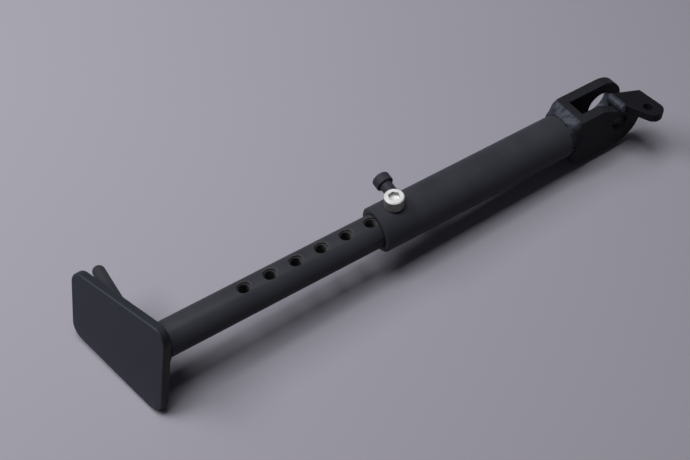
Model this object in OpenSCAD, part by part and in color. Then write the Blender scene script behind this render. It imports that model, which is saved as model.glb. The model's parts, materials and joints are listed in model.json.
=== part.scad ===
// Length-adjustable side stand for a motorcycle. Units are millimetres.
// The pivot axis is Y through the origin, the leg runs towards -X, and the lock screw stands up along Z.

/* [Sleeve] */
// outside diameter of the outer tube
sleeve_d = 30; // [28:0.5:34]
// length of the outer tube
sleeve_l = 151; // [120:0.5:180]
// edge bevel at the tube's open end
sleeve_bevel = 0.8; // [0.3:0.1:1.2]

/* [Leg] */
// diameter of the sliding bar
leg_d = 22; // [20:0.5:23]
// running gap between the bar and the tube, on the radius
leg_gap = 0.15; // [0.05:0.05:0.3]
// distance between the adjusting holes
hole_pitch = 17.5; // [15:0.5:20]
// number of adjusting holes on the foot side of the one in use
holes_out = 6; // [4:1:6]
// number of adjusting holes past the one in use, inside the tube
holes_in = 1; // [0:1:2]
// distance from the open end of the tube to the lock screw
screw_inset = 14.25; // [12:0.25:20]
// length of bar left past the last inner hole
leg_tail = 14; // [10:1:20]
// width of the countersink around each adjusting hole, on the radius
hole_sink = 0.8; // [0.3:0.1:1.2]

/* [Lock screw] */
// thread size of the lock screw
screw_d = 8; // [6:1:8]
// gap between the screw's shank and the threaded hole, on the radius
screw_gap = 0.05; // [0.02:0.01:0.1]
// gap between the shank and the plain hole in the tube, on the radius
screw_clear = 0.5; // [0.3:0.1:0.8]
// diameter of the screw's head
head_d = 13; // [12:0.5:14]
// height of the screw's head
head_h = 8; // [6:0.5:9]
// width of the hexagon socket across its flats
hex_w = 6; // [5:0.5:7]
// length of the screw below its head
screw_l = 20; // [16:1:24]

/* [Fork] */
// width of the fork across both ears
fork_w = 27.5; // [26:0.5:30]
// width of the slot between the ears
slot_w = 13; // [11:0.5:15]
// height of the fork
fork_h = 38; // [34:0.5:42]
// distance from the pivot axis back to the tube
fork_back = 34; // [32:0.5:44]
// distance from the pivot axis back to the bottom of the slot
slot_back = 29; // [26:0.5:31]
// height of the pivot axis over the tube's axis
pivot_rise = 1.2; // [0:0.1:2]
// distance of the ears' rounded end behind the pivot axis, middle to middle
ear_off = 0.9; // [0:0.1:2]
// diameter of the plain pivot bore in the far ear
pivot_bore_d = 19; // [16:0.5:20]
// diameter of the threaded pivot hole in the near ear
pivot_thread_d = 12; // [9:0.5:13]
// edge bevel at the mouths of the pivot holes
mouth_bevel = 0.8; // [0.3:0.1:1]

/* [Switch tab] */
// thickness of the tab
tab_t = 6; // [5:0.5:7]
// height of the tab's underside over the pivot axis
tab_seat = 8.8; // [8.5:0.1:9.5]
// distance of the tab's hole past the pivot axis
tab_reach = 12.3; // [11:0.1:14]
// distance of the tab's hole out from the middle of the fork
tab_side = 23.2; // [22:0.1:26]
// distance of the tab's rounded end past its hole, middle to middle
tab_tip = 3.4; // [2:0.1:4]
// radius of the tab's rounded end
tab_r = 6.5; // [6:0.1:7.5]
// diameter of the hole in the tab
tab_hole_d = 6; // [5:0.5:7]

/* [Spring post] */
// distance of the post past the lock screw
post_x = 10; // [9:0.5:14]
// angle of the post up from level
post_angle = 9; // [0:1:20]
// diameter of the post's neck
post_d = 8.4; // [6:0.1:9]
// length of the neck outside the tube
post_l = 10.4; // [8:0.2:14]
// diameter of the post's head
post_head_d = 12; // [10:0.5:13]
// thickness of the post's head
post_head_t = 6.6; // [4:0.2:7]

/* [Foot plate] */
// length of the plate
plate_l = 82; // [70:0.5:90]
// height of the plate at its end by the leg
plate_near_h = 65; // [56:0.5:70]
// height of the plate at its far end
plate_far_h = 52; // [44:0.5:56]
// thickness of the plate
plate_t = 6; // [5:0.5:8]
// radius of the plate's corners
plate_r = 10; // [6:0.5:12]
// swing of the plate about the upright axis
plate_swing = 16.6; // [10:0.1:20]
// lean of the plate's top edge towards the tube
plate_lean = 16.2; // [10:0.1:20]
// distance from the leg's axis to the plate's near end
plate_near = 18; // [16:0.5:22]
// height of the leg's axis over the plate's middle line at its end by the leg
plate_off = 8; // [4:0.1:9]
// rise of the plate's middle line towards its far end
plate_rise = 1.7; // [0:0.1:3]
// distance from the outermost hole to the plate's sole, along the leg
foot_reach = 67; // [56:0.5:74]

/* [Kick tang] */
// diameter of the tang
tang_d = 8; // [6:0.5:9]
// where the tang starts along the plate, from the leg's axis
tang_start = 24; // [20:0.5:30]
// where the tang ends along the plate, from the leg's axis
tang_end = 62; // [52:0.5:63]
// height of the tang over the leg's axis, along the plate
tang_up = 7.6; // [4:0.1:10]
// lean of the tang away from the plate
tang_lean = 17; // [14:0.5:20]

/* [Welds] */
// leg length of the weld round the bar's foot
foot_bead = 3.5; // [2.5:0.1:4.5]
// leg length of the weld between the tube and the fork
fork_bead = 7; // [4:0.5:8]
// radius of the weld bead along the tab
tab_bead = 3; // [2.5:0.1:3.2]
// leg length of the small welds at the post and the tang
small_bead = 2; // [1.5:0.1:2.5]

/* [Hidden] */
$fn = 64;
axis_z = -pivot_rise;
sleeve_r = sleeve_d / 2;
leg_r = leg_d / 2;
bore_r = leg_r + leg_gap;
sleeve_x0 = -fork_back - sleeve_l;
screw_x = sleeve_x0 + screw_inset;
leg_x1 = screw_x + holes_in * hole_pitch + leg_tail;
thread_r = screw_d / 2 + screw_gap;
plate_x = screw_x - holes_out * hole_pitch - foot_reach;
ear_r = fork_h / 2;
ear_w = (fork_w - slot_w) / 2;
tab_x0 = 1;
tab_half = tab_r;
slope_x = -0.569 * slot_back;
post_pos = screw_x + post_x;
neck_out = sleeve_r + post_l;
big = 200;

// the leg's own direction, with local Z along the bar
module on_axis(x) { translate([x, 0, axis_z]) rotate([0, 90, 0]) children(); }
// the plate's own frame: X is through the plate from its sole, Y along it, Z up it
module on_plate() { translate([plate_x, 0, axis_z]) rotate([0, plate_lean, plate_swing]) children(); }
// the spring post's own direction, with local Z outwards from the tube's axis
module on_post() { translate([post_pos, 0, axis_z]) rotate([post_angle - 90, 0, 0]) children(); }
// removes what is behind the plate's back face, where welded pieces stop
module behind_plate() { on_plate() translate([plate_t - big, -big / 2, -big / 2]) cube(big); }

module sleeve() {
    color([0.09, 0.09, 0.1])
    difference() {
        on_axis(sleeve_x0) rotate_extrude()
            polygon([[bore_r + 0.5, 0], [sleeve_r - sleeve_bevel, 0], [sleeve_r, sleeve_bevel],
                     [sleeve_r, sleeve_l], [bore_r, sleeve_l], [bore_r, 0.5]]);
        translate([screw_x, 0, axis_z]) cylinder(h = sleeve_r + 5, r = screw_d / 2 + screw_clear);
    }
}

module leg() {
    color([0.1, 0.1, 0.11])
    difference() {
        on_axis(plate_x - leg_d) cylinder(h = leg_x1 - plate_x + leg_d, r = leg_r);
        behind_plate();
        for (i = [-holes_out : holes_in]) translate([screw_x + i * hole_pitch, 0, axis_z]) {
            translate([0, 0, -leg_r - 1]) cylinder(h = leg_d + 2, r = thread_r);
            translate([0, 0, leg_r - 1.6]) cylinder(h = 2, r1 = thread_r - 0.2, r2 = thread_r + hole_sink + 0.4);
        }
    }
}

module lock_screw() {
    color([0.72, 0.73, 0.74])
    translate([screw_x, 0, axis_z + sleeve_r]) difference() {
        rotate_extrude() polygon([[0, -screw_l], [screw_d / 2 - 0.8, -screw_l], [screw_d / 2, 0.8 - screw_l],
            [screw_d / 2, 0], [head_d / 2 - 0.3, 0], [head_d / 2, 0.4], [head_d / 2, head_h - 1],
            [head_d / 2 - 0.9, head_h], [0, head_h]]);
        translate([0, 0, head_h * 0.42]) cylinder(h = head_h, d = hex_w / cos(30), $fn = 6);
        translate([0, 0, head_h - 0.5]) cylinder(h = 0.6, d1 = hex_w, d2 = hex_w / cos(30) + 0.9);
    }
}

// outline of the fork seen from the side, with its rounded end
module fork_side() {
    translate([-fork_back, axis_z - ear_r]) square([fork_back - ear_off, fork_h]);
    translate([-ear_off, axis_z]) circle(r = ear_r);
}

module fork() {
    color([0.09, 0.09, 0.1])
    difference() {
        translate([0, fork_w / 2, 0]) rotate([90, 0, 0]) linear_extrude(fork_w) fork_side();
        // slot for the bracket's tongue
        translate([-slot_back, -slot_w / 2, axis_z - ear_r - 1]) cube([slot_back + ear_r + 1, slot_w, fork_h + 2]);
        // plain pivot bore in the far ear
        rotate([-90, 0, 0]) cylinder(h = fork_w, d = pivot_bore_d);
        translate([0, fork_w / 2 - mouth_bevel, 0]) rotate([-90, 0, 0])
            cylinder(h = mouth_bevel + 0.1, d1 = pivot_bore_d, d2 = pivot_bore_d + 2 * mouth_bevel);
        // threaded pivot hole in the near ear
        rotate([90, 0, 0]) cylinder(h = fork_w, d = pivot_thread_d);
        translate([0, -fork_w / 2 + mouth_bevel, 0]) rotate([90, 0, 0])
            cylinder(h = mouth_bevel + 0.1, d1 = pivot_thread_d, d2 = pivot_thread_d + 2 * mouth_bevel);
        // seat for the switch tab on the near ear
        translate([0, -slot_w / 2 + 0.01, 0]) rotate([90, 0, 0]) linear_extrude(fork_w)
            polygon([[slope_x, axis_z + ear_r + 0.01], [tab_x0, tab_seat], [ear_r + 5, tab_seat],
                     [ear_r + 5, axis_z + ear_r + 5], [slope_x, axis_z + ear_r + 5]]);
    }
}

module fork_weld() {
    color([0.13, 0.14, 0.17])
    difference() {
        hull() {
            on_axis(-fork_back - fork_bead) cylinder(h = 0.2, r = sleeve_r + 0.3);
            on_axis(-fork_back - 0.2) cylinder(h = 0.2, r = sleeve_r + 0.6);
            translate([-fork_back - 0.1, 0, axis_z]) cube([0.2, fork_w - 0.8, fork_h - 1], center = true);
        }
        on_axis(-fork_back - big / 2) cylinder(h = big, r = sleeve_r);
    }
}

module tab_outline() {
    difference() {
        hull() {
            translate([tab_x0 + 0.4, -0.6]) circle(r = 0.4, $fn = 24);
            translate([tab_reach + tab_half - 1.2, -tab_half - 2.4]) circle(r = 1.4, $fn = 24);
            translate([tab_reach + tab_tip / 2, -tab_side - tab_tip]) circle(r = tab_r);
            translate([tab_x0 + 0.4, -fork_w / 2 + 1]) circle(r = 0.4, $fn = 24);
        }
        translate([tab_reach, -tab_side]) circle(d = tab_hole_d);
    }
}

module switch_tab() {
    color([0.1, 0.1, 0.11])
    translate([0, 0, tab_seat]) linear_extrude(tab_t) tab_outline();
}

// bead along the tab's inner end, which stops where the fork's side begins
module tab_weld() {
    color([0.15, 0.16, 0.19])
    difference() {
        hull() for (y = [-tab_bead * 0.6, -fork_w / 2 + tab_bead * 0.4])
            translate([tab_x0 - 0.6, y, tab_seat + tab_t * 0.6]) sphere(r = tab_bead, $fn = 32);
        translate([tab_x0, -fork_w, tab_seat - big]) cube([big, 2 * fork_w, big + tab_t]);
        difference() {
            translate([0, 0.01, 0]) rotate([90, 0, 0]) linear_extrude(fork_w) fork_side();
            translate([0, 1, 0]) rotate([90, 0, 0]) linear_extrude(fork_w + 2)
                polygon([[slope_x, axis_z + ear_r + 0.01], [tab_x0, tab_seat], [ear_r + 5, tab_seat],
                         [ear_r + 5, axis_z + ear_r + 5], [slope_x, axis_z + ear_r + 5]]);
        }
    }
}

module spring_post() {
    color([0.09, 0.09, 0.1])
    difference() {
        on_post() rotate_extrude() polygon([[0, sleeve_r - 4], [post_d / 2, sleeve_r - 4], [post_d / 2, neck_out],
            [post_head_d / 2 - 0.5, neck_out], [post_head_d / 2, neck_out + 0.5],
            [post_head_d / 2, neck_out + post_head_t - 0.8], [post_head_d / 2 - 0.8, neck_out + post_head_t],
            [0, neck_out + post_head_t]]);
        on_axis(post_pos - big / 2) cylinder(h = big, r = sleeve_r);
    }
}

module post_weld() {
    color([0.13, 0.14, 0.17])
    difference() {
        on_post() translate([0, 0, sleeve_r - 2])
            cylinder(h = small_bead + 2, r1 = post_d / 2 + small_bead + 1, r2 = post_d / 2 + 0.3);
        on_post() cylinder(h = big, d = post_d);
        on_axis(post_pos - big / 2) cylinder(h = big, r = sleeve_r);
    }
}

// outline of the plate, with rounded corners, drawn along Y and up Z
module plate_outline(inset) {
    hull() for (e = [[-plate_near, plate_near_h, 1, 0], [plate_l - plate_near, plate_far_h, -1, plate_rise]],
                s = [-1, 1])
        translate([e[0] + e[2] * plate_r, s * (e[1] / 2 - plate_r) - plate_off + e[3]]) circle(r = plate_r - inset);
}

module foot_plate() {
    color([0.1, 0.1, 0.11])
    on_plate() rotate([90, 0, 90]) hull() {
        linear_extrude(plate_t) plate_outline(0.8);
        translate([0, 0, 0.8]) linear_extrude(plate_t - 1.6) plate_outline(0);
    }
}

// slice of a bar along the leg's axis, in the plate's own frame, with its lower face at depth x
module leg_slice(x, r) {
    intersection() {
        on_plate() translate([x, -big / 2, -big / 2]) cube([0.05, big, big]);
        on_axis(plate_x - leg_d) cylinder(h = 3 * leg_d, r = r);
    }
}

module foot_weld() {
    color([0.13, 0.14, 0.17])
    difference() {
        hull() {
            leg_slice(plate_t, leg_r + foot_bead);
            leg_slice(plate_t + foot_bead, leg_r + 0.3);
        }
        on_axis(plate_x - leg_d) cylinder(h = 3 * leg_d, r = leg_r);
    }
}

// the tang's own direction, with local Z along it from its root
module on_tang() {
    on_plate() translate([plate_t + tang_d * 0.18, tang_start, tang_up]) rotate([-90, 0, 0]) rotate([0, tang_lean, 0])
        children();
}

tang_l = (tang_end - tang_start) / cos(tang_lean);

module kick_tang() {
    color([0.1, 0.1, 0.11])
    difference() {
        on_tang() union() {
            cylinder(h = tang_l, d = tang_d);
            translate([0, 0, tang_l]) sphere(d = tang_d);
        }
        behind_plate();
    }
}

module tang_weld() {
    color([0.13, 0.14, 0.17])
    difference() {
        on_plate() translate([plate_t, 0, tang_up]) rotate([0, 90, 0]) hull() {
            translate([0, tang_start + 1]) cylinder(h = 0.4, r = tang_d / 2 + small_bead);
            translate([0, tang_start + tang_d * 1.75]) cylinder(h = 0.4, r = tang_d / 2 + small_bead);
            translate([0, tang_start + 2]) cylinder(h = small_bead + 0.8, r = tang_d / 2);
            translate([0, tang_start + tang_d * 1.5]) cylinder(h = small_bead + 0.8, r = tang_d / 2);
        }
        on_tang() cylinder(h = tang_l, d = tang_d);
    }
}

sleeve();
leg();
lock_screw();
fork();
fork_weld();
switch_tab();
tab_weld();
spring_post();
post_weld();
foot_plate();
foot_weld();
kick_tang();
tang_weld();
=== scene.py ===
import bpy
import bmesh
import json
import math
from mathutils import Matrix, Vector, noise

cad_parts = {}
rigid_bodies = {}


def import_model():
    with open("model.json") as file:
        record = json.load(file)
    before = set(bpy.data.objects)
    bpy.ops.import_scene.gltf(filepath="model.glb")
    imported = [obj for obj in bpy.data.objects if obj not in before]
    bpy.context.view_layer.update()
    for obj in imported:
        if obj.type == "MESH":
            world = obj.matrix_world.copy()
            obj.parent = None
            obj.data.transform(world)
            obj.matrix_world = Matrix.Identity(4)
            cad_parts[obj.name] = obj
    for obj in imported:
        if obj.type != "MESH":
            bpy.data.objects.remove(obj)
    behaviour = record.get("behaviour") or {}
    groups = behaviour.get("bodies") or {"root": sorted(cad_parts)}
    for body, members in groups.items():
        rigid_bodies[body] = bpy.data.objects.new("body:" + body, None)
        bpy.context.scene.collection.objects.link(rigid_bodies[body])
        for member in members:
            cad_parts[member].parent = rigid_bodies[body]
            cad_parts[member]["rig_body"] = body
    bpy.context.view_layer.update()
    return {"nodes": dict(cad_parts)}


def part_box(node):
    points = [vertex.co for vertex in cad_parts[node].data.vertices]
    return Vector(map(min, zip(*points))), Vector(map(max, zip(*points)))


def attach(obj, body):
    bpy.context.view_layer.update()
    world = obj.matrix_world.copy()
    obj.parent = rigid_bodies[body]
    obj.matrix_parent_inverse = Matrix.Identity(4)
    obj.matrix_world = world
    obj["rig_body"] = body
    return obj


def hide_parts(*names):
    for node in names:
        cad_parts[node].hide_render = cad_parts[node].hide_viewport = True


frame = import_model()
nodes = frame["nodes"]
mm = 0.001

# where things are in the stand's own frame, in millimetres and degrees as in the source
stand = {"axisZ": -1.2, "screwX": -170.75, "holePitch": 17.5, "holesOut": 6, "barRadius": 11.0,
         "tubeRadius": 15.0, "slotHalf": 6.5, "boreRadius": 9.5, "plateX": -342.75, "plateSwing": 16.6,
         "plateLean": 16.2, "plateNear": 18.0}


class Reading:
    # wraps a socket, so that sums are written as plain Python
    def __init__(self, kit, socket):
        self.kit, self.socket = kit, socket

    def maths(self, operation, first, second):
        return self.kit.read("ShaderNodeMath", {"operation": operation}, {0: first, 1: second})

    def __add__(self, other):
        return self.maths("ADD", self, other)

    def __radd__(self, other):
        return self.maths("ADD", other, self)

    def __sub__(self, other):
        return self.maths("SUBTRACT", self, other)

    def __rsub__(self, other):
        return self.maths("SUBTRACT", other, self)

    def __mul__(self, other):
        return self.maths("MULTIPLY", self, other)

    def __rmul__(self, other):
        return self.maths("MULTIPLY", other, self)

    def __pow__(self, other):
        return self.maths("POWER", self, other)

    def sine(self):
        return self.kit.read("ShaderNodeMath", {"operation": "SINE"}, {0: self})


def radius(first, second):
    return (first * first + second * second) ** 0.5


class Finish:
    # one material, its nodes and its surface shader
    def __init__(self, name):
        self.material = bpy.data.materials.new(name)
        self.material.use_nodes = True
        self.tree = self.material.node_tree
        self.surface = next(n for n in self.tree.nodes if n.type == "BSDF_PRINCIPLED")
        self.place = self.node("ShaderNodeTexCoord").outputs["Object"]

    def node(self, kind, settings=None, inputs=None):
        made = self.tree.nodes.new(kind)
        for key, value in (settings or {}).items():
            setattr(made, key, value)
        for key, value in (inputs or {}).items():
            self.feed(made.inputs[key], value)
        return made

    def read(self, kind, settings=None, inputs=None, output=0):
        return Reading(self, self.node(kind, settings, inputs).outputs[output])

    def feed(self, socket, value):
        if isinstance(value, Reading):
            value = value.socket
        if isinstance(value, bpy.types.NodeSocket):
            self.tree.links.new(value, socket)
        elif socket.type == "RGBA":
            socket.default_value = (*value, 1.0)
        else:
            socket.default_value = value

    def along(self, axis, place=None):
        apart = self.node("ShaderNodeSeparateXYZ", None, {0: place or self.place})
        return Reading(self, apart.outputs[axis])

    def speckle(self, scale, detail=2.0, roughness=0.5, place=None):
        return self.read("ShaderNodeTexNoise", None, {"Vector": place or self.place, "Scale": scale,
                                                      "Detail": detail, "Roughness": roughness})

    def between(self, value, low, high, start=0.0, end=1.0):
        return self.read("ShaderNodeMapRange", {"clamp": True},
                         {"Value": value, "From Min": low, "From Max": high, "To Min": start, "To Max": end})

    def reach(self, value, low, high):
        # between, with its limits in millimetres
        return self.between(value, low * mm, high * mm)

    def mixed(self, factor, first, second):
        return self.read("ShaderNodeMix", {"data_type": "RGBA"}, {0: factor, 6: first, 7: second}, 2)

    def relief(self, height, depth, strength=0.9):
        return self.read("ShaderNodeBump", None,
                         {"Height": height, "Distance": depth * mm, "Strength": strength})

    def dress(self, **sockets):
        for name, value in sockets.items():
            self.feed(self.surface.inputs[name.replace("_", " ")], value)
        return self.material


def holeWalls(kit, values):
    # the bar's holes come round at every pitch from the lock screw; their walls start under the bar's skin and
    # get painted light
    pitch, skin = stand["holePitch"] * mm, stand["barRadius"]
    phase = kit.read("ShaderNodeMath", {"operation": "WRAP"},
                     {0: kit.along("X") - stand["screwX"] * mm, 1: -pitch / 2, 2: pitch / 2})
    across, high = kit.along("Y"), kit.along("Z") - stand["axisZ"] * mm
    sunk = kit.reach(radius(high, across), skin - values["skin"][0], skin - values["skin"][1])
    return kit.reach(radius(phase, across), *values["holeEdge"]) * sunk


def boreWall(kit, values):
    # thin paint in the far ear's bore lets the cuts of the boring tool show
    out, sideways = radius(kit.along("X"), kit.along("Z")), kit.along("Y")
    bore, slot = stand["boreRadius"], stand["slotHalf"]
    wall = kit.reach(out, bore + values["boreEdge"][0], bore + values["boreEdge"][1])
    wall = wall * kit.reach(sideways, slot + values["slotEdge"][0], slot + values["slotEdge"][1])
    cuts = (sideways * values["boreCuts"]).sine() * 0.5 + 0.5
    patches = kit.between(kit.speckle(values["boreScale"], detail=3.0), *values["boreSpan"])
    return wall * patches * (cuts * values["cutShare"] + (1.0 - values["cutShare"]))


def blackPaint(values):
    # satin black coat: fine grain, soft clouds in its gloss, a few pale specks of dust
    kit = Finish(values["name"])
    clouds = kit.speckle(values["cloudScale"], detail=3.0)
    grain = kit.speckle(values["grainScale"], roughness=0.6)
    dust = kit.between(kit.speckle(values["dustScale"], detail=1.0), *values["dustSpan"])
    shade = kit.mixed(kit.between(clouds, *values["cloudSpan"]), values["dark"], values["light"])
    shade = kit.mixed(dust * values["dust"], shade, values["dustColour"])
    rough = kit.between(clouds, *values["roughSpan"], *values["rough"]) + dust * values["dustRough"]
    # painted light: the bar's hole walls get a lighter colour
    if "holes" in values:
        paintedHoleLight = holeWalls(kit, values)
        shade = kit.mixed(paintedHoleLight * values["holeDepth"], shade, values["holes"])
        rough = rough + paintedHoleLight * values["holeRough"]
    if "bore" in values:
        worn = boreWall(kit, values)
        shade = kit.mixed(worn, shade, values["bore"])
        rough = rough - worn * values["boreGloss"]
    return kit.dress(Base_Color=shade, Roughness=rough, Normal=kit.relief(grain, values["grainDepth"]),
                     Specular_IOR_Level=values["shine"], Specular_Tint=values["tint"])


# tube and post; the bar, the fork and the tab have the same coat in other shades: the fork's and the tab's
# darker shades are painted shade
paintSet = {"name": "satinBlack", "dark": (0.0325, 0.0335, 0.0410), "light": (0.0405, 0.0415, 0.0505),
            "cloudScale": 45.0, "cloudSpan": (0.3, 0.7), "grainScale": 1500.0, "grainDepth": 0.05,
            "dustScale": 420.0, "dustSpan": (0.70, 0.78), "dust": 0.25, "dustColour": (0.095, 0.095, 0.10),
            "dustRough": 0.15, "roughSpan": (0.25, 0.75), "rough": (0.36, 0.44), "shine": 0.06,
            "tint": (0.84, 0.88, 1.0)}
# the bar: holes is the lighter colour of the painted light on the hole walls
barSet = dict(paintSet, name="satinBar", dark=(0.031, 0.032, 0.039), light=(0.039, 0.040, 0.0485),
              rough=(0.36, 0.46), holes=(0.075, 0.075, 0.077), holeDepth=0.8, holeRough=0.2,
              holeEdge=(5.2, 4.9), skin=(0.05, 0.25))
# the fork: the tube's coat darkened as painted shade
shadedForkSet = dict(paintSet, name="satinForkShaded", dark=(0.0185, 0.0189, 0.0225), light=(0.0235, 0.024, 0.0285),
               shine=0.04, bore=(0.12, 0.13, 0.163), boreCuts=9000.0, cutShare=0.3, boreScale=330.0,
               boreSpan=(0.30, 0.62), boreGloss=0.08, boreEdge=(0.4, 0.1), slotEdge=(-0.4, 0.2))
# the tab: the tube's coat darkened further as painted shade
shadedTabSet = dict(paintSet, name="satinTabShaded", dark=(0.0095, 0.0097, 0.012), light=(0.0125, 0.0127, 0.0155))


def platePaint(values):
    # the foot plate's coat, laid out along the plate itself: faint upright streaks along the sole's lower
    # edge; painted shade on the plate's edges and back, darkest at the near end
    kit = Finish(values["name"])
    lean, swing = math.radians(stand["plateLean"]), math.radians(stand["plateSwing"])
    own = kit.read("ShaderNodeMapping", {"vector_type": "TEXTURE"},
                   {"Vector": kit.place, "Location": (stand["plateX"] * mm, 0.0, stand["axisZ"] * mm),
                    "Rotation": (0.0, lean, swing)})
    deep, side, high = (kit.along(axis, own.socket) for axis in "XYZ")
    clouds = kit.speckle(values["cloudScale"], detail=3.0)
    grain = kit.speckle(values["grainScale"], roughness=0.6)
    combed = kit.read("ShaderNodeMapping", None, {"Vector": own, "Scale": (1.0, 1.0, values["streakSquash"])})
    streaks = kit.speckle(values["streakScale"], roughness=0.6, place=combed)
    streaks = kit.between(streaks, *values["streakSpan"])
    low = kit.reach(high * -1.0, values["streakFrom"], values["streakTo"])
    rubbed = streaks * low * kit.reach(deep, *values["soleSkin"])
    shade = kit.mixed(kit.between(clouds, *values["cloudSpan"]), values["dark"], values["light"])
    shade = kit.mixed(rubbed * values["rub"], shade, values["rubColour"])
    # painted shade: the plate's edges and back darker, darkest at the near end
    shadedSides = kit.reach(deep, *values["sideSkin"])
    nearFrom, nearTo = (stand["plateNear"] - inset for inset in values["nearInset"])
    shadedNearEnd = kit.reach(side * -1.0, nearFrom, nearTo)
    shade = kit.mixed(shadedSides * (shadedNearEnd * values["nearShadeShare"] + values["sideShadeShare"]), shade, values["edge"])
    rough = kit.between(clouds, *values["roughSpan"], *values["rough"]) - rubbed * values["rubGloss"]
    return kit.dress(Base_Color=shade, Roughness=rough, Normal=kit.relief(grain, values["grainDepth"]),
                     Specular_IOR_Level=values["shine"])


# edge is the dark colour of the painted shade on the plate's edges and back
soleSet = {"name": "satinSole", "dark": (0.0185, 0.0222, 0.0325), "light": (0.0225, 0.0262, 0.0395),
           "cloudScale": 30.0, "cloudSpan": (0.3, 0.7), "grainScale": 1300.0, "grainDepth": 0.06,
           "streakScale": 900.0, "streakSquash": 0.05, "streakSpan": (0.50, 0.72), "streakFrom": 18.0,
           "streakTo": 38.0, "soleSkin": (1.2, 0.4), "rub": 0.35, "rubColour": (0.064, 0.073, 0.105),
           "rubGloss": 0.10, "sideSkin": (0.4, 0.8), "sideShadeShare": 0.30, "nearShadeShare": 0.62,
           "nearInset": (5.0, 1.0), "edge": (0.003, 0.0031, 0.0038), "roughSpan": (0.25, 0.75),
           "rough": (0.50, 0.58), "shine": 0.3}


def beadPaint(values):
    # paint that lies thinly over a weld: a little blue, with small pits, and painted shade low on the near
    # side
    kit = Finish(values["name"])
    lumps = kit.speckle(values["lumpScale"], detail=3.0)
    pits = kit.between(kit.speckle(values["pitScale"], detail=1.0), *values["pitSpan"])
    # painted shade low on the near side of the beads
    shadedFlank = kit.reach(kit.along("Y") * -1.0, *values["flankSide"])
    shadedFlank = shadedFlank * kit.reach(kit.along("X") * -1.0, *values["flankBack"])
    shade = kit.mixed(kit.between(lumps, *values["lumpSpan"]), values["dark"], values["light"])
    shade = kit.mixed(pits * values["pits"], shade, values["pitColour"])
    shade = kit.mixed(shadedFlank * values["flankShare"], shade, values["shadedFlank"])
    rough = kit.between(lumps, *values["roughSpan"], *values["rough"])
    rough = rough + pits * values["pitRough"] + shadedFlank * values["flankRough"]
    normal = kit.relief(lumps - pits * values["pitDepth"], values["lumpDepth"])
    return kit.dress(Base_Color=shade, Roughness=rough, Normal=normal, Specular_IOR_Level=values["shine"],
                     Specular_Tint=values["tint"])


# the beads' near-side flank colour is painted shade
beadSet = {"name": "beadBlack", "dark": (0.0105, 0.0113, 0.0145), "light": (0.035, 0.0385, 0.055),
           "lumpScale": 380.0, "lumpSpan": (0.22, 0.60), "lumpDepth": 0.12, "pitScale": 800.0,
           "pitSpan": (0.66, 0.74), "pits": 0.8, "pitDepth": 0.6, "pitRough": 0.2,
           "pitColour": (0.008, 0.008, 0.010), "shadedFlank": (0.006, 0.0062, 0.0075), "flankShare": 0.9,
           "flankRough": 0.3, "flankSide": (9.5, 11.8), "flankBack": (30.0, 32.0), "roughSpan": (0.3, 0.7),
           "rough": (0.40, 0.55), "shine": 0.28, "tint": (0.84, 0.88, 1.0)}


def screwSteel(values):
    # bright turned steel: fine rings round the screw's axis, soft stains, a dull knurl with painted shade on
    # it, and painted shade on the socket's walls
    kit = Finish(values["name"])
    out = radius(kit.along("X") - stand["screwX"] * mm, kit.along("Y"))
    high = kit.along("Z") - (stand["axisZ"] + stand["tubeRadius"]) * mm
    rings = (out * values["ringCount"]).sine()
    stains = kit.speckle(values["stainScale"], detail=3.0)
    # painted shade on the head's knurled side, and below it painted shade on the socket's walls, not its floor
    shadedFlank = kit.reach(out, *values["flankOut"]) * kit.reach(high, *values["flankHigh"])
    socketShade = kit.reach(out, *values["wellOut"]) * kit.reach(high, *values["wellLow"])
    socketShade = socketShade * kit.reach(high, *values["wellHigh"])
    shade = kit.mixed(kit.between(stains, *values["stainSpan"]), values["bright"], values["dull"])
    shade = kit.mixed(shadedFlank * values["share"], shade, values["shadedFlank"])
    shade = kit.mixed(socketShade * values["share"], shade, values["socketShade"])
    rough = kit.between(stains, *values["roughSpan"], *values["rough"]) + shadedFlank * values["flankRough"]
    return kit.dress(Base_Color=shade, Roughness=rough, Metallic=values["metal"],
                     Normal=kit.relief(rings, values["ringDepth"], values["ringStrength"]))


# the dark colours of the head's side and the socket's walls are painted shade
# Out is measured from the screw's axis, High and Low over the tube, in millimetres from nothing to full
steelSet = {"name": "turnedSteel", "bright": (0.98, 0.98, 0.99), "dull": (0.72, 0.72, 0.73),
            "stainScale": 300.0, "stainSpan": (0.35, 0.7), "shadedFlank": (0.062, 0.058, 0.052),
            "flankOut": (6.10, 6.45), "flankHigh": (7.9, 7.1), "flankRough": 0.10, "socketShade": (0.20, 0.19, 0.18),
            "wellOut": (4.3, 4.2), "wellLow": (5.0, 5.4), "wellHigh": (7.95, 7.7), "share": 0.9,
            "ringCount": 18000.0, "ringDepth": 0.003, "ringStrength": 0.5, "roughSpan": (0.3, 0.7),
            "rough": (0.34, 0.44), "metal": 0.35}

paint, barPaint, shadedForkPaint, shadedTabPaint = (blackPaint(values) for values in (paintSet, barSet, shadedForkSet, shadedTabSet))
solePaint = platePaint(soleSet)
beadCoat, steel = beadPaint(beadSet), screwSteel(steelSet)
print("scene: finishes")


def bakedMesh(piece):
    # the mesh of an object with its modifiers applied
    bpy.context.view_layer.update()
    return bpy.data.meshes.new_from_object(piece.evaluated_get(bpy.context.evaluated_depsgraph_get()))


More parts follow.
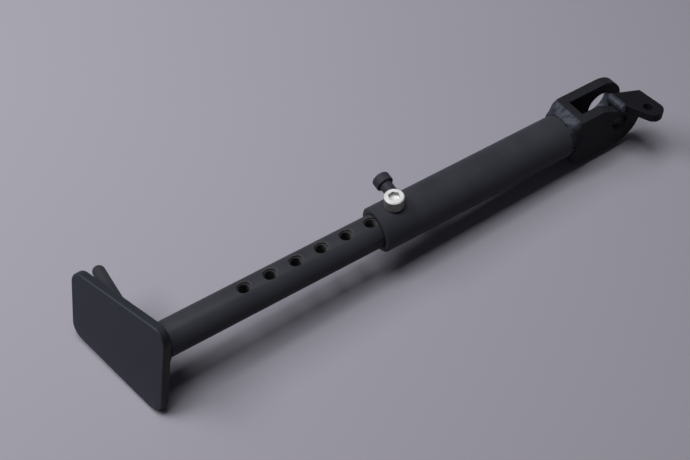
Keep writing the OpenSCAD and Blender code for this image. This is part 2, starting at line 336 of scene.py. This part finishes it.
def finishPiece(bm, name, material, body, replaced=None, crease=35.0):
    mesh = bpy.data.meshes.new(name)
    bm.to_mesh(mesh)
    bm.free()
    mesh.shade_smooth()
    mesh.set_sharp_from_angle(angle=math.radians(crease))
    mesh.materials.append(material)
    piece = bpy.data.objects.new(name, mesh)
    bpy.context.scene.collection.objects.link(piece)
    if crease < 90.0:
        # flat faces stay flat: their normals outweigh those of the rounded edges
        steady = piece.modifiers.new("steady", "WEIGHTED_NORMAL")
        steady.keep_sharp = True
        piece.data = bakedMesh(piece)
        piece.modifiers.clear()
        bpy.data.meshes.remove(mesh)
        piece.data.name = name
    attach(piece, body)
    if replaced:
        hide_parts(replaced)


# the distance under which corners are one, in metres, and angles in degrees
edgeSet = {"merge": 2e-6, "flat": 0.6, "keen": 25.0, "segments": 2}


def mergedCopy(node):
    bm = bmesh.new()
    bm.from_mesh(nodes[node].data)
    bmesh.ops.remove_doubles(bm, verts=bm.verts, dist=edgeSet["merge"])
    return bm


def softened(node, edge):
    # a merged copy of a node with its flat faces joined and its sharp edges rounded
    bm = mergedCopy(node)
    bmesh.ops.dissolve_limit(bm, angle_limit=math.radians(edgeSet["flat"]), use_dissolve_boundaries=False,
                             verts=bm.verts, edges=bm.edges, delimit=set())
    keen = [e for e in bm.edges if e.is_manifold and e.calc_face_angle(0.0) > math.radians(edgeSet["keen"])]
    bmesh.ops.bevel(bm, geom=keen, offset=edge * mm, offset_type="OFFSET", segments=edgeSet["segments"],
                    profile=0.5, affect="EDGES", clamp_overlap=True, material=-1)
    return bm


# tube, fork, tab, post, plate and tang keep the source's shapes, with rounded edges; the bar is as it is
shellSet = {
    "tubeShell": {"node": "sleeve", "edge": 0.25, "finish": paint, "slot": "tube_paint"},
    "forkShell": {"node": "fork", "edge": 0.45, "finish": shadedForkPaint, "slot": "tube_paint"},
    "tabShell": {"node": "switch_tab", "edge": 0.45, "finish": shadedTabPaint, "slot": "bar_paint"},
    "postShell": {"node": "spring_post", "edge": 0.25, "finish": paint, "slot": "tube_paint"},
    "plateShell": {"node": "foot_plate", "edge": 0.35, "finish": solePaint, "slot": "plate_paint"},
    "tangShell": {"node": "kick_tang", "edge": 0.1, "finish": barPaint, "slot": "bar_paint"},
}
for name, values in shellSet.items():
    finishPiece(softened(values["node"], values["edge"]), name, values["finish"], "stand",
                values["node"])
finishPiece(mergedCopy("leg"), "barShell", barPaint, "stand", "leg")
print("scene: painted shells")


# each bead has a voxel size, ripples round or along it, and how far ripples and lumps rise, in millimetres;
# a blob is its place, how wide it is and how far it rises
weldSet = {
    "forkBead": {"node": "fork_weld", "grain": 0.45, "ripples": 17, "round": "zy", "lift": 0.3, "lump": 0.85,
                 "blobs": [(-38.0, -13.2, 14.0, 2.6, 1.3), (-37.0, 12.5, 15.0, 3.0, 0.6)]},
    "footBead": {"node": "foot_weld", "grain": 0.4, "ripples": 38, "round": "zy", "lift": 0.45, "lump": 0.4},
    "tabBead": {"node": "tab_weld", "grain": 0.32, "ripples": 3.2, "lift": 0.55, "lump": 0.55},
    "postBead": {"node": "post_weld", "grain": 0.3, "ripples": 16, "round": "zx", "lift": 0.25, "lump": 0.25},
    "tangBead": {"node": "tang_weld", "grain": 0.35, "ripples": 12, "lift": 0.4, "lump": 0.35},
}
# what the beads have in common
beadForm = {"wanderScale": 260.0, "wander": 0.35, "fall": 0.6, "rise": 6.0, "lumpScale": 300.0,
            "lumpShift": (3.1, 0.7, 5.2), "rippleShare": 0.6, "reliefShare": 0.8, "even": 0.5, "settle": 0.35}


def smoothed(bm, factor):
    bmesh.ops.smooth_vert(bm, verts=bm.verts, factor=factor, use_axis_x=True, use_axis_y=True,
                          use_axis_z=True)


def evenedBead(node, grain):
    # the node's own shape in small, even faces
    bm = mergedCopy(node)
    mesh = bpy.data.meshes.new(node + "Draft")
    bm.to_mesh(mesh)
    bm.free()
    draft = bpy.data.objects.new(node + "Draft", mesh)
    bpy.context.scene.collection.objects.link(draft)
    remesh = draft.modifiers.new("even", "REMESH")
    remesh.mode, remesh.voxel_size = "VOXEL", grain * mm
    even = bakedMesh(draft)
    bpy.data.objects.remove(draft)
    bm = bmesh.new()
    bm.from_mesh(even)
    for _ in range(2):
        smoothed(bm, beadForm["even"])
    bm.normal_update()
    return bm


def weldBead(name, values):
    bm = evenedBead(values["node"], values["grain"])
    low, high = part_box(values["node"])
    middle = (low + high) / 2
    for vert in bm.verts:
        here = vert.co - middle
        if "round" in values:
            turn = math.atan2(*(getattr(here, axis) for axis in values["round"])) / math.tau
        else:
            turn = (vert.co.y - low.y) / (high.y - low.y)
        wander = noise.noise(vert.co * beadForm["wanderScale"])
        wave = (turn * values["ripples"] + beadForm["wander"] * wander) % 1.0
        crest = (1.0 - wave) ** beadForm["fall"] * min(1.0, wave * beadForm["rise"])    # steep on one side
        lump = 0.5 + 0.5 * noise.noise(vert.co * beadForm["lumpScale"] + Vector(beadForm["lumpShift"]))
        rise = crest * values["lift"] * beadForm["rippleShare"] + lump * values["lump"]
        blob = 0.0
        for x, y, z, wide, tall in values.get("blobs", ()):
            blob += tall * math.exp(-((vert.co - Vector((x, y, z)) * mm).length / (wide * mm)) ** 2)
        vert.co += vert.normal * (rise * beadForm["reliefShare"] + blob) * mm
    smoothed(bm, beadForm["settle"])
    finishPiece(bm, name, beadCoat, "stand", values["node"], crease=180.0)


for name, values in weldSet.items():
    weldBead(name, values)
print("scene: welds")


threadForm = {"rootHalf": 0.42, "crestHalf": 0.08}      # half widths of a ridge, as shares of the pitch


def threadRidge(bm, centre, axis, values, stepsPerTurn=20):
    # a closed ridge swept along a helix, from values["low"] along the axis
    axis, centre = Vector(axis).normalized(), Vector(centre)
    side, pitch, turns = axis.orthogonal().normalized(), values["pitch"], values["turns"]
    root, crest = values["root"], values["crest"]
    rootHalf, crestHalf = threadForm["rootHalf"], threadForm["crestHalf"]
    section = [(root, -rootHalf), (crest, -crestHalf), (crest, crestHalf), (root, rootHalf)]
    corners = [bm.verts.new(centre + side * (r * mm) + axis * ((values["low"] + h * pitch) * mm))
               for r, h in section]
    face = bm.faces.new(corners)
    steps = int(turns * stepsPerTurn)
    bmesh.ops.spin(bm, geom=[face] + list(face.edges) + list(face.verts), cent=centre, axis=axis,
                   dvec=axis * (pitch * turns * mm / steps), angle=math.tau * turns, steps=steps,
                   use_merge=False, use_duplicate=False)


barThreadSet = {"pitch": 1.25, "root": 4.08, "crest": 3.6, "low": -9.4, "turns": 14.6}
bm = bmesh.new()
for step in range(1, stand["holesOut"] + 1):
    spot = ((stand["screwX"] - step * stand["holePitch"]) * mm, 0.0, stand["axisZ"] * mm)
    threadRidge(bm, spot, (0, 0, 1), barThreadSet)
bmesh.ops.recalc_face_normals(bm, faces=bm.faces)
finishPiece(bm, "barThreads", barPaint, "stand")

earThreadSet = {"pitch": 1.5, "root": 6.03, "crest": 5.35, "low": 7.4, "turns": 3.2}
bm = bmesh.new()
threadRidge(bm, (0, 0, 0), (0, -1, 0), earThreadSet, stepsPerTurn=36)
bmesh.ops.recalc_face_normals(bm, faces=bm.faces)
finishPiece(bm, "earThread", paint, "stand")


# the ring is the round opening that is drawn in to the hexagon
screwSet = {"headRadius": 6.5, "headHeight": 8.0, "length": 20.0, "tipRadius": 2.9, "coreRadius": 3.36,
            "neckRadius": 3.9, "ridges": 60, "ridgeDepth": 0.14, "ridgeSpan": (0.6, 6.8), "socketHalf": 3.3,
            "socketRing": 3.9, "ringReach": 0.15, "socketTurn": 42.0, "socketDepth": 3.2,
            "thread": {"pitch": 1.25, "root": 3.31, "crest": 3.97, "low": -19.0, "turns": 14.4}}


def hexagonReach(turn, half):
    # how far out a hexagon's side is in the direction turn
    wedge = (turn + math.pi / 6) % (math.pi / 3) - math.pi / 6
    return half / math.cos(wedge)


def lockScrew(values):
    steps = values["ridges"] * 4
    rim, top, ring = values["headRadius"], values["headHeight"], values["socketRing"]
    core, neck, tip = values["coreRadius"], values["neckRadius"], -values["length"]
    floor = top - values["socketDepth"]
    # radius and height of each corner: up the shank, round the head and down into the socket
    profile = [(0.0, tip), (values["tipRadius"], tip), (core, tip + 0.6), (core, -1.0), (neck, -0.7),
               (neck, 0.0), (rim - 0.35, 0.0), (rim, 0.35), (rim, 0.9), (rim, top - 1.5), (rim, top - 1.0),
               (rim - 0.25, top - 0.45), (rim - 0.8, top), (ring + 0.6, top), (ring + 0.12, top),
               (ring, top - 0.12), (ring, floor), (0.0, floor - 0.3)]
    bm = bmesh.new()
    foot = Vector((stand["screwX"] * mm, 0.0, (stand["axisZ"] + stand["tubeRadius"]) * mm))
    line = [bm.verts.new(foot + Vector((r * mm, 0.0, z * mm))) for r, z in profile]
    edges = [bm.edges.new((a, b)) for a, b in zip(line, line[1:])]
    bmesh.ops.spin(bm, geom=line + edges, cent=foot, axis=(0, 0, 1), angle=math.tau, steps=steps,
                   use_merge=True, use_duplicate=False)
    bmesh.ops.remove_doubles(bm, verts=bm.verts, dist=1e-7)
    for vert in bm.verts:
        here = vert.co - foot
        out, high = Vector((here.x, here.y)).length / mm, here.z / mm
        turn = math.atan2(here.y, here.x)
        if out > rim - 0.01 and values["ridgeSpan"][0] < high < values["ridgeSpan"][1]:
            # straight knurl round the head
            count = round(turn / math.tau * steps)
            here.xy *= 1.0 - (0.0, 0.5, 1.0, 0.5)[count % 4] * values["ridgeDepth"] / rim
        if abs(out - ring) < values["ringReach"] and high > floor - 0.1:
            # round rings of the socket drawn in to a hexagon
            half = values["socketHalf"] + out - ring
            here.xy *= hexagonReach(turn - math.radians(values["socketTurn"]), half) / out
        vert.co = foot + here
    bmesh.ops.recalc_face_normals(bm, faces=bm.faces)
    threadRidge(bm, foot, (0, 0, 1), values["thread"], stepsPerTurn=28)
    finishPiece(bm, "capScrew", steel, "lock_screw", "lock_screw", crease=28.0)


lockScrew(screwSet)
print("scene: screw and threads")


# a plain pale table, tilted as the photograph's is; lengths in metres
roomSet = {"tableNormal": (-0.0488, -0.1078, 0.993), "tableSize": 14.0, "tableColour": (0.307, 0.297, 0.345),
           "tableRough": 0.8, "tableShine": 0.2, "cloudScale": 3.0, "cloudShare": 0.03, "fadeMiddle": -0.17,
           "fadeFrom": 0.38, "fadeTo": 1.15, "backColour": (0.185, 0.18, 0.205), "air": (0.05, 0.05, 0.056)}


def makeTable(values):
    bpy.context.view_layer.update()
    normal = Vector(values["tableNormal"]).normalized()
    lowest = min((v.co.dot(normal) for o in bpy.context.scene.objects if o.type == "MESH" and o.get("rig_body")
                  for v in o.data.vertices))
    bm = bmesh.new()
    bmesh.ops.create_grid(bm, x_segments=8, y_segments=8, size=values["tableSize"] / 2)
    turn = normal.to_track_quat("Z", "Y").to_matrix().to_4x4()
    bmesh.ops.transform(bm, matrix=Matrix.Translation(normal * lowest) @ turn, verts=bm.verts)
    mesh = bpy.data.meshes.new("table")
    bm.to_mesh(mesh)
    bm.free()
    table = bpy.data.objects.new("table", mesh)
    bpy.context.scene.collection.objects.link(table)
    mesh.materials.append(tableFinish(values))


def tableFinish(values):
    # far from the stand the table passes into the backdrop, so that low views have no dark horizon
    kit = Finish("tableTop")
    black, share = (0.0, 0.0, 0.0), values["cloudShare"]
    darker = tuple(c * (1.0 - share) for c in values["tableColour"])
    paler = tuple(c * (1.0 + share) for c in values["tableColour"])
    near = kit.mixed(kit.speckle(values["cloudScale"]), darker, paler)
    far = radius(kit.along("X") - values["fadeMiddle"], kit.along("Y"))
    fade = kit.between(far, values["fadeFrom"], values["fadeTo"])
    return kit.dress(Base_Color=kit.mixed(fade, near, black), Roughness=values["tableRough"],
                     Specular_IOR_Level=values["tableShine"],
                     Emission_Color=kit.mixed(fade, black, values["backColour"]), Emission_Strength=1.0)


def makeAir(values):
    # faint light from all round; the camera itself sees the backdrop's colour
    world = bpy.data.worlds.new("air")
    bpy.context.scene.world = world
    world.use_nodes = True
    tree = world.node_tree
    sky = next(n for n in tree.nodes if n.type == "BACKGROUND")
    sky.inputs["Color"].default_value = (*values["air"], 1.0)
    plain = tree.nodes.new("ShaderNodeBackground")
    plain.inputs["Color"].default_value = (*values["backColour"], 1.0)
    seen, blend = tree.nodes.new("ShaderNodeLightPath"), tree.nodes.new("ShaderNodeMixShader")
    tree.links.new(seen.outputs["Is Camera Ray"], blend.inputs[0])
    tree.links.new(sky.outputs[0], blend.inputs[1])
    tree.links.new(plain.outputs[0], blend.inputs[2])
    end = next(n for n in tree.nodes if n.type == "OUTPUT_WORLD")
    tree.links.new(blend.outputs[0], end.inputs["Surface"])


# two softboxes that face straight down on the table; "at" is the way from the pivot along, across and over it,
# in metres
lampSet = [
    {"name": "farSoftbox", "at": (-0.95, 0.72, 1.15), "wide": 0.78, "tall": 0.84, "watts": 16.0},
    {"name": "overSoftbox", "at": (-0.22, 0.22, 1.20), "wide": 0.62, "tall": 0.50, "watts": 9.8},
]


def makeLamps(values, normal):
    along = (Vector((1.0, 0.0, 0.0)) - normal * normal.x).normalized()
    turn = Matrix((along, normal.cross(along), normal)).transposed().to_4x4()
    for one in values:
        data = bpy.data.lights.new(one["name"], "AREA")
        data.shape, data.size, data.size_y = "RECTANGLE", one["wide"], one["tall"]
        data.energy = one["watts"]
        lamp = bpy.data.objects.new(one["name"], data)
        lamp.matrix_world = turn @ Matrix.Translation(one["at"])
        bpy.context.scene.collection.objects.link(lamp)


# the photograph's own camera, as worked out from the part; film and lens are in millimetres
cameraSet = {"spot": (-0.39078, -0.33510, 0.47211), "right": (0.84699, -0.52961, -0.04597),
             "up": (0.43238, 0.63601, 0.63917), "film": 36.0, "lens": 52.174, "clip": (0.01, 50.0)}


def makeCamera(values):
    data = bpy.data.cameras.new("photoCamera")
    data.sensor_fit, data.sensor_width, data.lens = "HORIZONTAL", values["film"], values["lens"]
    data.clip_start, data.clip_end = values["clip"]
    camera = bpy.data.objects.new("photoCamera", data)
    right, up = Vector(values["right"]).normalized(), Vector(values["up"]).normalized()
    turn = Matrix((right, up, right.cross(up))).transposed().to_4x4()
    camera.matrix_world = Matrix.Translation(values["spot"]) @ turn
    bpy.context.scene.collection.objects.link(camera)
    bpy.context.scene.camera = camera


makeTable(roomSet)
makeAir(roomSet)
makeLamps(lampSet, Vector(roomSet["tableNormal"]).normalized())
makeCamera(cameraSet)
bpy.context.scene.view_settings.view_transform = "Standard"
print("scene: table, lamps and camera")
